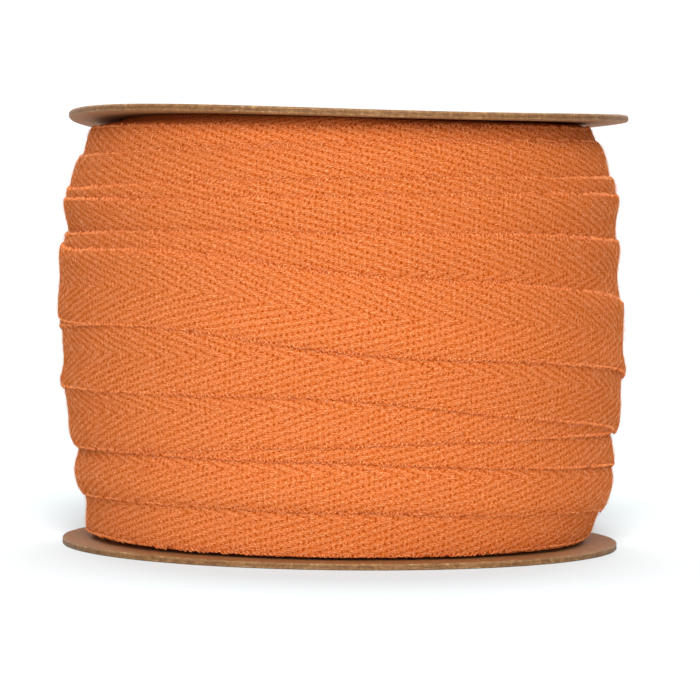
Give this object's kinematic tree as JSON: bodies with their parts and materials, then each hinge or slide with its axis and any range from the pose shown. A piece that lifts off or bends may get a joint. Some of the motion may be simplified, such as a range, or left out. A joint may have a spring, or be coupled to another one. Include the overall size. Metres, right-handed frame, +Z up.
{
  "type": "roll of cotton ribbon",
  "caption": "Roll of cotton herringbone ribbon, cross-wound in overlapping laps between thin round cardboard flanges and standing upright on its lower flange.",
  "frame": {"origin": "middle of the lower flange's underside, on the surface that the roll stands on", "axes": "+Z up along the winding axis, -Y towards the viewer of the picture, +X to that viewer's right"},
  "size_m": [0.0922, 0.0922, 0.0703],
  "materials": {
    "cotton_tape": "matt orange cotton herringbone twill with a soft brushed face",
    "flange_board": "plain brown board with a fibrous cut rim"
  },
  "bodies": {
    "root": {"foot_board": "flange_board", "wound_tape": "cotton_tape", "top_board": "flange_board"}
  },
  "joints": []
}
